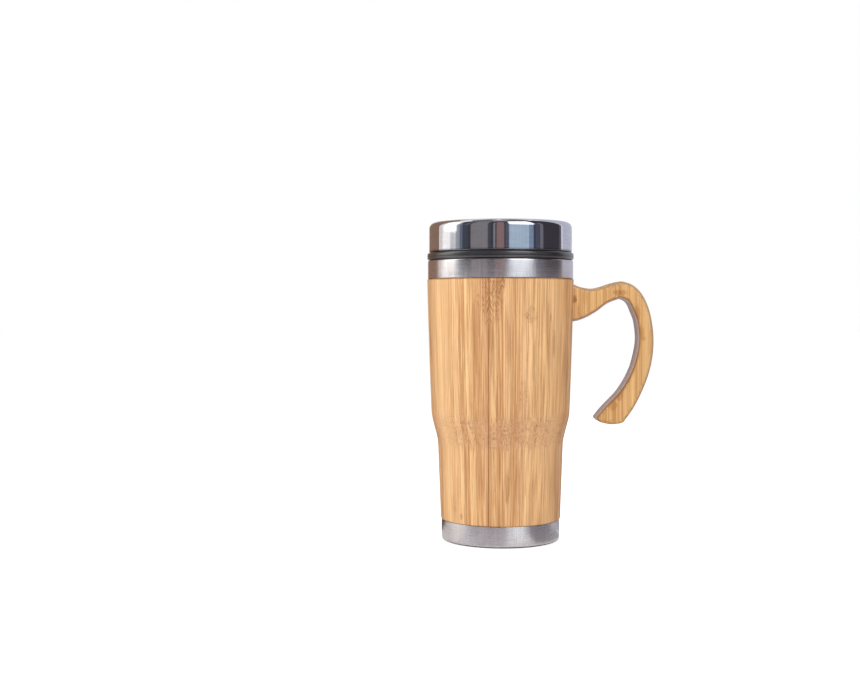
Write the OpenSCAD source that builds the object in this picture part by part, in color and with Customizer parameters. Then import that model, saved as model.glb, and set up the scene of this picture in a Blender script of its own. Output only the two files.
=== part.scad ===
// Bamboo travel mug with a handle and a screw-on lid.
// A drawn steel liner stands in a turned bamboo sleeve. A steel collar covers the sleeve's top and a
// steel cup its foot. The handle is shaped from a bamboo board and screwed on from inside the sleeve.
// The lid is a black moulding under a polished steel cap, and a shutter slides over its drinking hole.
// Lengths are millimetres. The table is z = 0, the mug's axis is Z and the handle points along +X.

/* [Cup] */
// Height of the rim above the table
rim_z = 157; // [131:1:188]
// Diameter of the steel collar round the rim
collar_d = 81.8; // [68:0.2:99]
// Height of the collar
collar_h = 10.3; // [8:0.1:12.5]
// Width of the rim, from the collar's outside to the mouth
rim_w = 4.9; // [4.4:0.1:6]
// Depth of the straight neck that takes the lid's plug
neck_h = 16; // [14.5:0.5:22]
// Height of the liner's floor above the table
liner_floor_z = 8; // [6:0.5:14]
// Radius inside the liner's bottom corner
liner_corner_r = 7; // [3:0.5:12]

/* [Sleeve] */
// How far the bamboo stands proud of the collar
sleeve_proud = 0.35; // [0.1:0.05:0.8]
// Height of the middle of the shoulder
shoulder_z = 63; // [53:1:75]
// Height of the shoulder's curve
shoulder_h = 19.5; // [12:0.5:24]
// How much the upper taper draws in from the collar to the shoulder
upper_taper = 2.75; // [1:0.05:5]
// Step of the shoulder, from the upper taper in to the lower
shoulder_step = 3.05; // [2:0.05:4.5]
// How much the lower taper draws in from the shoulder to the base cup
lower_taper = 1.9; // [0.5:0.1:3]
// How far the upper taper swells outside a straight line
belly = 0.2; // [0:0.05:0.6]
// Thickness of the bamboo at its foot
foot_wall = 3.7; // [3.2:0.1:5]

/* [Base] */
// Height of the steel base cup's upper edge
base_h = 12.2; // [9.7:0.1:16]
// How far the bamboo overhangs the base cup
base_overhang = 0.45; // [0.2:0.05:1]
// Outer radius of the base cup's bottom corner
base_corner_r = 1.6; // [1.4:0.1:4]
// Width of the base cup's underside round the rubber pad
base_ring = 5.85; // [5.25:0.05:9]
// How far the pad stands below the base cup
pad_proud = 0.3; // [0.2:0.1:1.2]

/* [Handle] */
// How far the handle stands out from the sleeve
handle_reach = 44.8; // [37:0.2:54]
// Height of the handle from its tip to the top of its arch
handle_h = 80; // [66:0.2:96]
// Depth of the top of the arch below the rim
handle_drop = 11.9; // [10:0.1:16]
// Thickness of the board that the handle is cut from
handle_t = 14.6; // [12:0.2:18]
// Width of the handle where it meets the sleeve
root_w = 23; // [20:0.5:26]
// Width of the handle over the arch
arch_w = 9.8; // [8:0.1:12]
// Width of the handle at the grip
grip_w = 9; // [7.5:0.1:11]
// Width of the handle's flared lower end
tail_w = 16.8; // [13:0.1:20]
// Bulge of the handle's lower end
tail_bulge = 3.2; // [2:0.1:5]
// Radius of the handle's rounded edges
edge_r = 2.6; // [1.5:0.1:3.5]

/* [Lid] */
// How far the black flange on the rim stands proud of the collar
flange_proud = 0.3; // [0.1:0.05:0.8]
// Height of the flange
flange_h = 4; // [3:0.1:5]
// How far the flange stands out beyond the steel cap
flange_ledge = 1; // [0.5:0.1:2]
// Height of the steel cap above the flange
cap_h = 17.1; // [13.6:0.1:21]
// Radius of the steel cap's upper corner
cap_corner_r = 3.4; // [2:0.1:5]
// Radius of the steel cap's rolled lower edge
cap_hem_r = 1.5; // [1:0.1:2.2]
// Depth of the plug below the rim
plug_h = 13; // [11:0.5:15]
// Gap between plug and neck, which holds the screw thread
thread_gap = 1.6; // [1.2:0.1:2]
// Depth of the drinking deck below the top of the lid
deck_drop = 8; // [6.5:0.1:9.5]
// Width of the steel rim round the deck
lid_rim_w = 9.2; // [8:0.1:10.5]
// Length of the drinking hole
drink_l = 14; // [10:0.5:17]
// Width of the drinking hole
drink_w = 8; // [6:0.5:9]
// Width of the deck outside the drinking hole
drink_edge = 5.5; // [4.5:0.1:7]
// Travel of the shutter
shutter_travel = 14; // [12:0.5:14]

/* [Hidden] */
$fn = 96;

// Direction of the seams of turned shapes
seam_turn = 135;

// Overrun of every cut, and the three gaps between pieces
cut = 1;
glue_gap = 0.1;
slide_gap = 0.2;
turn_gap = 0.3;

// Sheet thicknesses of the steel pieces
liner_t = 0.6;
collar_t = 0.7;
base_t = 0.6;
cap_t = 0.5;

// Collar and liner
collar_r = collar_d / 2;
collar_z = rim_z - collar_h;
collar_edge_r = 0.9;
collar_lip_r = collar_t / 2;
mouth_r = collar_r - rim_w;
neck_z = rim_z - neck_h;
liner_top_z = rim_z - collar_t;
liner_lip_w = 3;

// Sleeve
sleeve_edge = 0.5;
sleeve_step = 0.3;
sleeve_top_r = collar_r + sleeve_proud;
sleeve_top_z = collar_z - sleeve_step;
upper_r = sleeve_top_r - upper_taper;
lower_r = upper_r - shoulder_step;
sleeve_foot_r = lower_r - lower_taper;
shoulder_z0 = shoulder_z - shoulder_h / 2;
shoulder_z1 = shoulder_z + shoulder_h / 2;
top_spigot_r = collar_r - collar_t - glue_gap;
top_spigot_z = liner_top_z - liner_t - glue_gap;
bore_foot_r = sleeve_foot_r - foot_wall;
liner_foot_r = bore_foot_r - glue_gap - liner_t;
bore_neck_r = mouth_r + liner_t + glue_gap;

// Base cup and pad
base_r = sleeve_foot_r - base_overhang;
base_corner = [base_r - base_corner_r, pad_proud + base_corner_r];
base_rise = 0.6;
base_slope = 0.8;
pad_r = base_r - base_ring;
pad_edge = 0.4;
recess_r = pad_r + turn_gap;
recess_z = pad_proud + base_rise;
base_floor_z = recess_z + base_t;
foot_spigot_r = base_r - base_t - glue_gap;
foot_spigot_z = base_floor_z + glue_gap;
foot_corner_r = base_corner_r - base_t - glue_gap;

// Handle and its screws
handle_top_z = rim_z - handle_drop;
handle_tail_z = handle_top_z - handle_h;
handle_x = sleeve_r(handle_top_z - root_w / 2);
corner_steps = 4;
ring_steps = 4;
tail_steps = 6;
tail_turn = 84;
screw_d = 3.5;
screw_l = 14;
screw_tip = 3;
screw_head_d = 6.4;
screw_head_h = 1.9;
screw_head_rim = 0.3;
screw_z_share = [0.326, 0.717];

// Lid
lid_z = rim_z + slide_gap;
flange_r = collar_r + flange_proud;
flange_z = lid_z + flange_h;
flange_edge_r = 1.2;
groove_line = 0.2;
groove_line_share = 0.36;
cap_r = flange_r - flange_ledge;
cap_z = flange_z + glue_gap;
lid_top_z = flange_z + cap_h;
cap_lip_h = 2.6;
cap_bend_r = 1;
deck_r = cap_r - lid_rim_w;
plug_r = mouth_r - thread_gap;
plug_t = 2.4;
plug_z = lid_z - plug_h;
plug_edge = 1;
lid_floor_t = 2;
lid_floor_z = plug_z + lid_floor_t;
seal_depth = 1;
seal_drop = 0.8;
seal_h = 2.2;
seal_lip = 0.5;
groove_r = plug_r - seal_depth;
groove_z1 = lid_z - seal_drop;
groove_z0 = groove_z1 - seal_h - 2 * turn_gap;
riser_t = 1.6;
riser_r = cap_r - cap_t - slide_gap;
riser_foot_r = cap_r - cap_hem_r - slide_gap;

// Drinking deck
deck_t = 2;
deck_z = lid_top_z - deck_drop;
deck_wall = 1.8;
deck_fillet = 2;
deck_top_z = lid_top_z - cap_t - glue_gap;
deck_flange_t = 1.6;
deck_skirt_h = 4;
riser_z = lid_top_z - cap_corner_r - glue_gap;
lip_seat_r = deck_r + cap_t + slide_gap;
deck_wall_r = lip_seat_r + deck_wall;
skirt_r = riser_r - riser_t - slide_gap;
duct_t = 1.2;
vent_d = 2.5;
vent_edge = 7;
vent_y = deck_r - vent_edge;
drink_y = deck_r - drink_edge - drink_w / 2;

// Shutter, its seal and its clip
shutter_t = 1.8;
shutter_margin = 2.5;
shutter_w = drink_l + 2 * shutter_margin;
shutter_l = 26;
shutter_y = -drink_y - drink_w / 2 - shutter_margin;
shutter_back_y = shutter_y + shutter_l;
shutter_corner_r = 5;
guide_w = 1.2;
guide_l = shutter_l + shutter_travel - 2 * shutter_corner_r;
neck_w = 6;
neck_l = 5;
neck_back = 7;
neck_y = shutter_back_y - neck_back;
neck_corner_r = 0.8;
barb = 0.5;
barb_h = 0.9;
clip_w = 12;
clip_l = 9;
clip_t = 1.4;
clip_corner_r = 1.5;
grip_pad_w = 12;
grip_pad_l = 7;
grip_pad_h = 1;
grip_pad_back = 2;
grip_pad_y = shutter_back_y - grip_pad_l - grip_pad_back;
ridge_r = 0.7;
ridges = 3;
seal_margin = 1.5;
seal_pad_t = 1;

BAMBOO = "#d9ae7c";
BAMBOO_BOARD = "#c99c6b";
BRUSHED = "#b9b8bf";
POLISHED = "#d5dae2";
BLACK = "#1b1b1d";
RUBBER = "#2b2a2c";
SILICONE = "#8d9094";

// A share t of the way from a to b
function mix(a, b, t) = a + (b - a) * t;

// An S-curve that leaves 0 and reaches 1 level
function smooth(t) = t * t * (3 - 2 * t);

// Points on a round corner about c, from angle a0 to a1
function arc(c, r, a0, a1, n = 6) =
    [for (i = [0:n]) c + r * [cos(mix(a0, a1, i / n)), sin(mix(a0, a1, i / n))]];

// A smooth curve through rows of numbers, with n steps from each row to the next
function spline(rows, n) =
    let (last = len(rows) - 1)
    [for (i = [0:last - 1], k = [0:n - 1])
        let (a = rows[max(i - 1, 0)], b = rows[i], c = rows[i + 1], d = rows[min(i + 2, last)], t = k / n)
        (2 * b + (c - a) * t + (2 * a - 5 * b + 4 * c - d) * t * t + (3 * b - a - 3 * c + d) * t * t * t) / 2,
     rows[last]];

// Outer radius of the bamboo at height z
function upper_side(z) =
    let (t = (z - shoulder_z) / (sleeve_top_z - shoulder_z))
    mix(upper_r, sleeve_top_r, t) + 4 * belly * t * (1 - t);
function lower_side(z) = mix(sleeve_foot_r, lower_r, (z - base_h) / (shoulder_z - base_h));
function sleeve_r(z) =
    z >= shoulder_z1 ? upper_side(z) :
    z <= shoulder_z0 ? lower_side(z) :
    mix(lower_side(z), upper_side(z), smooth((z - shoulder_z0) / shoulder_h));

// Outline of the bamboo from foot to collar, grown outwards
function sleeve_side(grow = 0) =
    let (steps = 14, rises = 5)
    concat([[sleeve_foot_r + grow, base_h + sleeve_edge]],
           [for (i = [0:steps]) let (z = shoulder_z0 + shoulder_h * i / steps) [sleeve_r(z) + grow, z]],
           [for (i = [1:rises]) let (z = mix(shoulder_z1, sleeve_top_z - sleeve_edge, i / rises))
               [sleeve_r(z) + grow, z]]);

// Outline of the liner from its floor to its neck, grown outwards
function liner_side(grow = 0) =
    concat([[0, liner_floor_z - grow]],
           arc([liner_foot_r - liner_corner_r, liner_floor_z + liner_corner_r], liner_corner_r + grow, -90, 0),
           [[mouth_r + grow, neck_z]]);

// Outline of one handle screw with its head at z = 0, or of its hole, grown all round and open behind
function screw_side(grow = 0, behind = 0) =
    [[0, -behind], [screw_head_d / 2 + grow, -behind], [screw_head_d / 2 + grow, screw_head_rim],
     [screw_d / 2 + grow, screw_head_h], [screw_d / 2 + grow, screw_l - screw_tip], [0, screw_l + grow]];

// A turned shape. Its seam lies away from every hole in the mug
module revolve(points) {
    rotate(seam_turn) rotate_extrude() polygon(points);
}

// A flat shape with round ends, l long along X and w wide
module oval(l, w) {
    square([l - w, w], center = true);
    for (side = [-1, 1]) translate([side * (l - w) / 2, 0]) circle(d = w);
}

// A rectangle with round corners, centred
module round_rect(l, w, r) {
    square([l - 2 * r, w], center = true);
    square([l, w - 2 * r], center = true);
    for (x = [-1, 1], y = [-1, 1]) translate([x * (l / 2 - r), y * (w / 2 - r)]) circle(r);
}

// Drawn steel liner: tapered cup, straight neck and turned-out lip
module liner() {
    lip_r = mouth_r + liner_lip_w;
    color(BRUSHED)
    revolve(concat(
        liner_side(liner_t),
        [[mouth_r + liner_t, liner_top_z - liner_t], [lip_r, liner_top_z - liner_t], [lip_r, liner_top_z],
         [mouth_r, liner_top_z]],
        [for (i = [len(liner_side()) - 1:-1:0]) liner_side()[i]]));
}

// Brushed collar: skirt over the sleeve's top, flange over the liner's lip
module rim_collar() {
    edge = [collar_r - collar_edge_r, rim_z - collar_edge_r];
    color(BRUSHED)
    revolve(concat(
        [[collar_r - collar_t, collar_z], [collar_r, collar_z]],
        arc(edge, collar_edge_r, 0, 90),
        arc([mouth_r + collar_lip_r, rim_z - collar_lip_r], collar_lip_r, 90, 270),
        arc(edge, collar_edge_r - collar_t, 90, 0)));
}

// Screw positions, one frame at each with Z pointing out through the sleeve's wall
module at_screws() {
    for (share = screw_z_share) {
        z = handle_top_z - root_w + root_w * share;
        bore_r = mix(bore_foot_r, bore_neck_r, (z - liner_floor_z) / (neck_z - liner_floor_z));
        translate([bore_r + slide_gap, 0, z]) rotate([0, 90, 0]) children();
    }
}

// Turned bamboo sleeve with a spigot at each end and a tapered bore
module bamboo_sleeve() {
    color(BAMBOO)
    difference() {
        revolve(concat(
            [[bore_foot_r, foot_spigot_z]],
            arc(base_corner, foot_corner_r, asin((foot_spigot_z - base_corner[1]) / foot_corner_r), 0),
            [[foot_spigot_r, base_h], [sleeve_foot_r - sleeve_edge, base_h]],
            sleeve_side(),
            [[sleeve_top_r - sleeve_edge, sleeve_top_z], [top_spigot_r, sleeve_top_z],
             [top_spigot_r, top_spigot_z - collar_edge_r / 2], [top_spigot_r - collar_edge_r / 2, top_spigot_z],
             [bore_neck_r, top_spigot_z], [bore_neck_r, neck_z], [bore_foot_r, liner_floor_z]]));
        at_screws() revolve(screw_side(glue_gap, cut));
    }
}

// Brushed base cup with a recess for the pad
module base_cup() {
    color(BRUSHED)
    revolve(concat(
        [[0, recess_z], [recess_r, recess_z], [recess_r + base_slope, pad_proud]],
        arc(base_corner, base_corner_r, -90, 0),
        [[base_r, base_h - slide_gap], [base_r - base_t, base_h - slide_gap]],
        arc(base_corner, base_corner_r - base_t, 0, -90),
        [[recess_r + base_slope, pad_proud + base_t], [recess_r, base_floor_z], [0, base_floor_z]]));
}

// Rubber pad under the base
module base_pad() {
    color(RUBBER)
    revolve([[0, 0], [pad_r - pad_edge, 0], [pad_r, pad_edge], [pad_r, recess_z], [0, recess_z]]);
}

// Stations along the handle, from inside the sleeve over the arch and down to the tail.
// A row holds the outer edge's place as shares of reach and height, the direction across the handle
// to its inner edge, and the handle's width there.
handle_shares = [
    [-0.072, 1.000,  -92, root_w],
    [ 0.070, 0.964,  -89, mix(root_w, arch_w, 0.33)],
    [ 0.205, 0.950,  -80, mix(root_w, arch_w, 0.70)],
    [ 0.333, 0.962,  -71, mix(root_w, arch_w, 0.97)],
    [ 0.484, 0.989,  -82, arch_w],
    [ 0.616, 1.000,  -95, arch_w],
    [ 0.766, 0.965, -114, arch_w],
    [ 0.881, 0.888, -133, mix(arch_w, root_w, 0.02)],
    [ 0.963, 0.764, -158, grip_w],
    [ 1.000, 0.598, -184, grip_w],
    [ 0.977, 0.440, -200, mix(grip_w, tail_w, 0.12)],
    [ 0.908, 0.301, -205, mix(grip_w, tail_w, 0.20)],
    [ 0.797, 0.160, -207, mix(grip_w, tail_w, 0.40)],
    [ 0.704, 0.074, -198, mix(grip_w, tail_w, 0.74)],
    [ 0.642, 0.030, -185, tail_w]];

// One ring of the handle: a rectangle of half width u and half thickness v with round corners
function handle_ring(centre, turn, u, v, r) =
    let (across = [cos(turn), sin(turn)])
    [for (q = [0:3], i = [0:corner_steps])
        let (a = 90 * (q + i / corner_steps),
             su = q == 0 || q == 3 ? 1 : -1,
             sv = q < 2 ? 1 : -1,
             p = su * (u - r) + r * cos(a),
             y = sv * (v - r) + r * sin(a))
        [centre[0] + p * across[0], y, centre[1] + p * across[1]]];

function handle_rings() =
    let (rows = spline(handle_shares, ring_steps),
         half = handle_t / 2,
         end = rows[len(rows) - 1],
         tip = handle_place(end),
         across = [cos(end[2]), sin(end[2])],
         middle = tip + across * end[3] / 2,
         down = [-across[1], across[0]])
    concat(
        [for (s = rows) let (a = [cos(s[2]), sin(s[2])])
            handle_ring(handle_place(s) + a * s[3] / 2, s[2], s[3] / 2, half, edge_r)],
        [for (k = [1:tail_steps])
            let (a = tail_turn * k / tail_steps, u = end[3] / 2 * cos(a))
            handle_ring(middle + down * tail_bulge * sin(a), end[2], u, half - edge_r * (1 - cos(a)),
                        min(edge_r, u * 0.95))]);

function handle_place(row) = [handle_x + handle_reach * row[0], handle_tail_z + handle_h * row[1]];

// A closed skin over equal rings of points
module skin(rings) {
    n = len(rings[0]);
    last = len(rings) - 1;
    walls = [for (j = [0:last - 1], i = [0:n - 1])
        let (a = j * n + i, b = j * n + (i + 1) % n)
        each [[a, b, b + n], [a, b + n, a + n]]];
    polyhedron([for (ring = rings) each ring],
               concat(walls, [[for (i = [n - 1:-1:0]) i]], [[for (i = [0:n - 1]) last * n + i]]));
}

// Bamboo handle, coped to the sleeve and drilled for its screws
module handle() {
    color(BAMBOO_BOARD)
    difference() {
        skin(handle_rings());
        revolve(concat([[0, base_h + sleeve_edge]], sleeve_side(glue_gap),
                       [[sleeve_r(sleeve_top_z) + glue_gap, rim_z], [0, rim_z]]));
        at_screws() revolve(screw_side(glue_gap));
    }
}

// Two countersunk wood screws through the sleeve's wall into the handle
module handle_screws() {
    color(BRUSHED)
    at_screws() revolve(screw_side());
}

// Black lid base: screw plug, floor, flange and the riser inside the steel cap
module lid_base() {
    line_z = lid_z + flange_h * groove_line_share;
    color(BLACK)
    difference() {
        revolve(concat(
            [[0, plug_z], [plug_r - plug_edge, plug_z], [plug_r, plug_z + plug_edge], [plug_r, groove_z0],
             [groove_r, groove_z0], [groove_r, groove_z1], [plug_r, groove_z1], [plug_r, lid_z]],
            arc([flange_r - flange_edge_r, lid_z + flange_edge_r], flange_edge_r, -90, 0),
            [[flange_r, line_z], [flange_r - groove_line, line_z + groove_line],
             [flange_r, line_z + 2 * groove_line]],
            arc([flange_r - flange_edge_r, flange_z - flange_edge_r], flange_edge_r, 0, 90),
            [[riser_foot_r, flange_z], [riser_foot_r, cap_z + cap_t + slide_gap],
             [riser_r, cap_z + cap_hem_r + slide_gap], [riser_r, riser_z], [riser_r - riser_t, riser_z],
             [riser_r - riser_t, flange_z + riser_t], [plug_r - plug_t, flange_z + riser_t],
             [plug_r - plug_t, lid_floor_z], [0, lid_floor_z]]));
        translate([0, -drink_y, plug_z - cut]) linear_extrude(lid_floor_t + 2 * cut)
            oval(drink_l + 2 * (duct_t + slide_gap), drink_w + 2 * (duct_t + slide_gap));
        translate([0, vent_y, plug_z - cut]) cylinder(h = lid_floor_t + 2 * cut, d = vent_d);
    }
}

// Silicone ring in the plug's groove, with two sealing lips
module lid_seal() {
    inner = groove_r + turn_gap;
    outer = mouth_r - turn_gap;
    z0 = groove_z0 + turn_gap;
    color(SILICONE)
    revolve(concat(
        [[inner, z0]],
        arc([outer - seal_lip, z0 + seal_lip], seal_lip, -90, 30, 4),
        [[outer - seal_lip, z0 + seal_h / 2]],
        arc([outer - seal_lip, z0 + seal_h - seal_lip], seal_lip, -30, 90, 4),
        [[inner, z0 + seal_h]]));
}

// Polished steel cap, turned down round the deck and rolled in along its lower edge
module lid_cap() {
    hem = [cap_r - cap_hem_r, cap_z + cap_hem_r];
    corner = [cap_r - cap_corner_r, lid_top_z - cap_corner_r];
    bend = [deck_r + cap_bend_r, lid_top_z - cap_bend_r];
    color(POLISHED)
    revolve(concat(
        arc(hem, cap_hem_r, -90, 0),
        arc(corner, cap_corner_r, 0, 90, 10),
        arc(bend, cap_bend_r, 90, 180),
        [[deck_r, lid_top_z - cap_lip_h], [deck_r + cap_t, lid_top_z - cap_lip_h]],
        arc(bend, cap_bend_r - cap_t, 180, 90),
        arc(corner, cap_corner_r - cap_t, 90, 0, 10),
        arc(hem, cap_hem_r - cap_t, 0, -90)));
}

// Black drinking deck: dished floor, drinking duct, shutter slot and guides
module lid_deck() {
    corner = [cap_r - cap_corner_r, lid_top_z - cap_corner_r];
    bend_r = cap_corner_r - cap_t - slide_gap;
    under_z = deck_top_z - deck_flange_t;
    seat_z = lid_top_z - cap_lip_h - glue_gap;
    color(BLACK)
    difference() {
        union() {
            revolve(concat(
                [[0, deck_z - deck_t], [deck_wall_r, deck_z - deck_t], [deck_wall_r, under_z],
                 [skirt_r - deck_wall, under_z], [skirt_r - deck_wall, riser_z - deck_skirt_h],
                 [skirt_r, riser_z - deck_skirt_h], [skirt_r, corner[1]]],
                arc(corner, bend_r, 0, 80, 8),
                [[corner[0], deck_top_z], [lip_seat_r + cap_bend_r, deck_top_z],
                 [lip_seat_r, deck_top_z - cap_bend_r], [lip_seat_r, seat_z], [deck_r, seat_z]],
                arc([deck_r - deck_fillet, deck_z + deck_fillet], deck_fillet, 0, -90),
                [[0, deck_z]]));
            translate([0, -drink_y, plug_z]) linear_extrude(deck_z - deck_t / 2 - plug_z)
                oval(drink_l + 2 * duct_t, drink_w + 2 * duct_t);
            for (side = [-1, 1])
                translate([side * (shutter_w / 2 + slide_gap + guide_w / 2), shutter_y + shutter_l / 2
                           + shutter_travel / 2, deck_z - deck_t / 2])
                linear_extrude(deck_t / 2 + shutter_t)
                    rotate(90) oval(guide_l, guide_w);
        }
        translate([0, -drink_y, plug_z - cut]) linear_extrude(deck_z - plug_z + 2 * cut) oval(drink_l, drink_w);
        translate([0, neck_y + shutter_travel / 2, deck_z - deck_t - cut]) linear_extrude(deck_t + 2 * cut)
            round_rect(neck_w + 2 * slide_gap, neck_l + shutter_travel + 2 * slide_gap,
                       neck_corner_r + slide_gap);
        translate([0, vent_y, deck_z - deck_t - cut]) cylinder(h = deck_t + 2 * cut, d = vent_d);
    }
}

// Shutter: sliding plate with a ridged thumb pad above and a barbed neck below
module shutter() {
    z = deck_z + slide_gap;
    clip_z = deck_z - deck_t - slide_gap - clip_t;
    color(BLACK)
    difference() {
        union() {
            translate([0, shutter_y + shutter_l / 2, z]) linear_extrude(shutter_t)
                round_rect(shutter_w, shutter_l, shutter_corner_r);
            translate([0, grip_pad_y + grip_pad_l / 2, z + shutter_t / 2])
                linear_extrude(shutter_t / 2 + grip_pad_h) round_rect(grip_pad_w, grip_pad_l, ridge_r);
            for (i = [0:ridges - 1])
                translate([0, grip_pad_y + grip_pad_l * (i + 1 / 2) / ridges, z + shutter_t + grip_pad_h])
                rotate([0, 90, 0]) cylinder(h = grip_pad_w - 2 * ridge_r, r = ridge_r, center = true);
            translate([0, neck_y, clip_z - barb_h]) linear_extrude(z + shutter_t / 2 - clip_z + barb_h)
                round_rect(neck_w, neck_l, neck_corner_r);
            translate([0, neck_y, clip_z - barb_h]) linear_extrude(barb_h)
                round_rect(neck_w + 2 * barb, neck_l, neck_corner_r);
        }
        translate([0, -drink_y, z - cut]) linear_extrude(cut + seal_pad_t)
            oval(drink_l + 2 * seal_margin, drink_w + 2 * seal_margin);
    }
}

// Silicone pad in the underside of the shutter
module shutter_seal() {
    trim = 2 * (seal_margin - glue_gap);
    color(SILICONE)
    translate([0, -drink_y, deck_z + slide_gap / 2]) linear_extrude(seal_pad_t)
        oval(drink_l + trim, drink_w + trim);
}

// Clip that holds the shutter down from below the deck
module shutter_clip() {
    color(BLACK)
    translate([0, neck_y, deck_z - deck_t - slide_gap - clip_t])
    linear_extrude(clip_t)
    difference() {
        round_rect(clip_w, clip_l, clip_corner_r);
        round_rect(neck_w + 2 * glue_gap, neck_l + 2 * glue_gap, neck_corner_r + glue_gap);
    }
}

liner();
rim_collar();
bamboo_sleeve();
base_cup();
base_pad();
handle();
handle_screws();
lid_base();
lid_seal();
lid_cap();
lid_deck();
shutter();
shutter_seal();
shutter_clip();
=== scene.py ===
"""Bamboo travel mug: the looks of each piece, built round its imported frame.

Outlines are rows of (radius, height) in millimetres, and meshes are in metres.
The mug stands on z = 0 with its axis on Z, its handle along +X and its drinking hole towards -Y.
"""

import math

import bpy
from bpy.props import FloatProperty, FloatVectorProperty, PointerProperty
from mathutils import Matrix, Vector


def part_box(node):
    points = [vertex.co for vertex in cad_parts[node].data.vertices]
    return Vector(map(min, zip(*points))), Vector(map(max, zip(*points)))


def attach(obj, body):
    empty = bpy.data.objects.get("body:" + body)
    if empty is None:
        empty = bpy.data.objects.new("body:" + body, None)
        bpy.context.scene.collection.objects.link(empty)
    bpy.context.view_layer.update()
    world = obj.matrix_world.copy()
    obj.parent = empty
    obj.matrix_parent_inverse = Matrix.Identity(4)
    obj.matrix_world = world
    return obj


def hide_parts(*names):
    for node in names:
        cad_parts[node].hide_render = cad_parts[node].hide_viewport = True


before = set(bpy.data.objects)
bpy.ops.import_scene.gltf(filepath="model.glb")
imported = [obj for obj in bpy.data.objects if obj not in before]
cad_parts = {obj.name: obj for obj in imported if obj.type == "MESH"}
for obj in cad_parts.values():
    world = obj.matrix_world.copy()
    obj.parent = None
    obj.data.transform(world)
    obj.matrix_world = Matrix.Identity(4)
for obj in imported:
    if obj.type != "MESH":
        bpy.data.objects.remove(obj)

bl_info = {
    "name": "Bamboo travel mug",
    "version": (1, 0, 0),
    "blender": (4, 5, 0),
    "location": "3D View > Sidebar > Mug",
    "description": "Builds a bamboo travel mug with its steel, bamboo and black plastic finishes",
    "category": "Object",
}

MM = 0.001
WHITE = 1.0, 1.0, 1.0
TURN_STEPS = 256
CORNER_STEPS = 8
SMOOTH_ANGLE = math.radians(32)
# The front's direction round Z, in degrees
FRONT = -90.0


def colour(red, green, blue):
    """A colour as it looks on a screen, in 0 to 255, as Blender's linear colour."""
    def linear(value):
        value /= 255
        return value / 12.92 if value <= 0.04045 else ((value + 0.055) / 1.055) ** 2.4

    return linear(red), linear(green), linear(blue)


def node_span(node):
    """Outer radius, lowest and highest height of a turned node, in millimetres."""
    low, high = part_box(node)
    return high.y / MM, low.z / MM, high.z / MM


COLLAR_R, COLLAR_Z, RIM_Z = node_span("rim_collar")
SLEEVE_TOP_R = node_span("bamboo_sleeve")[0]
BASE_R, BASE_Z, BASE_TOP_Z = node_span("base_cup")
CAP_R, CAP_Z, LID_TOP_Z = node_span("lid_cap")
PLUG_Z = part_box("lid_base")[0].z / MM


# Sizes and colours that a user would change


def length(name, description, default, most):
    """A size property in metres, written in millimetres."""
    return FloatProperty(name=name, description=description, default=default * MM, min=0.0, max=most * MM,
                         unit="LENGTH", subtype="DISTANCE", precision=5)


def tint(name, description, rgb):
    """A colour property, written as it looks on a screen."""
    return FloatVectorProperty(name=name, description=description, default=colour(*rgb), size=3, min=0.0,
                               max=1.0, subtype="COLOR")


def power(name, description, default):
    """A lamp's power."""
    return FloatProperty(name=name, description=description, default=default, min=0.0, max=100.0,
                         unit="POWER")


class MUG_PG_sizes(bpy.types.PropertyGroup):
    """Sizes of the mug's small details"""

    sleeve_strip: length("Sleeve strip", "Mean width of the bamboo strips round the sleeve", 4.4, 20)
    handle_strip: length("Handle strip", "Mean width of the bamboo strips in the handle's board", 1.1, 10)
    fibre: length("Fibre", "Width of one fine bamboo fibre", 0.46, 2)
    vein: length("Vein", "Width of the dark lines between bundles of fibres", 0.52, 4)
    thread_lead: length("Thread lead", "Rise of the lid in one turn", 9.0, 20)
    thread_height: length("Thread height", "Height of a thread rib", 1.2, 3)
    brush_line: length("Brush line", "Spacing of the brush lines on satin steel", 0.16, 2)


class MUG_PG_colours(bpy.types.PropertyGroup):
    """Colours of the mug's materials"""

    bamboo_pale: tint("Pale bamboo", "Palest strips of the sleeve", (242, 197, 141))
    bamboo_mid: tint("Bamboo", "Most of the sleeve", (208, 156, 104))
    bamboo_dark: tint("Dark bamboo", "Dark fibres", (158, 102, 55))
    bamboo_mark: tint("Bamboo marks", "Node marks and glue lines", (124, 70, 33))
    bamboo_pink: tint("Pink bamboo", "Redder strips, and cut grain on the shoulder", (206, 158, 120))
    # The board sides' colour is a painted grey reflection, laid mostly on the handle's inner side.
    board_side: tint("Board sides", "Sides of the handle", (198, 194, 202))
    board_pale: tint("Pale board", "Palest strips of the handle", (232, 186, 124))
    board_mid: tint("Board", "Most of the handle", (202, 152, 90))
    board_dark: tint("Dark board", "Dark strips of the handle", (152, 98, 50))
    # The rim and edge colours are painted shade on the handle's rounded outer and inner edges.
    board_rim: tint("Board rim", "Outer edges of the handle", (146, 130, 114))
    board_edge: tint("Board edge", "Inner edges of the handle", (112, 74, 52))
    board_rubbed: tint("Rubbed board", "Stains and rubbed places of the handle", (166, 108, 48))
    satin_steel: tint("Satin steel", "Brushed collar, base and liner", (228, 224, 226))
    bright_steel: tint("Bright steel", "Polished cap", (222, 224, 230))
    screw_steel: tint("Screw steel", "Handle screws", (188, 184, 176))
    black_plastic: tint("Black plastic", "Lid, deck and shutter", (29, 26, 30))
    silicone: tint("Silicone", "Seals", (150, 152, 156))
    rubber: tint("Rubber", "Pad under the base", (44, 43, 46))


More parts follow.
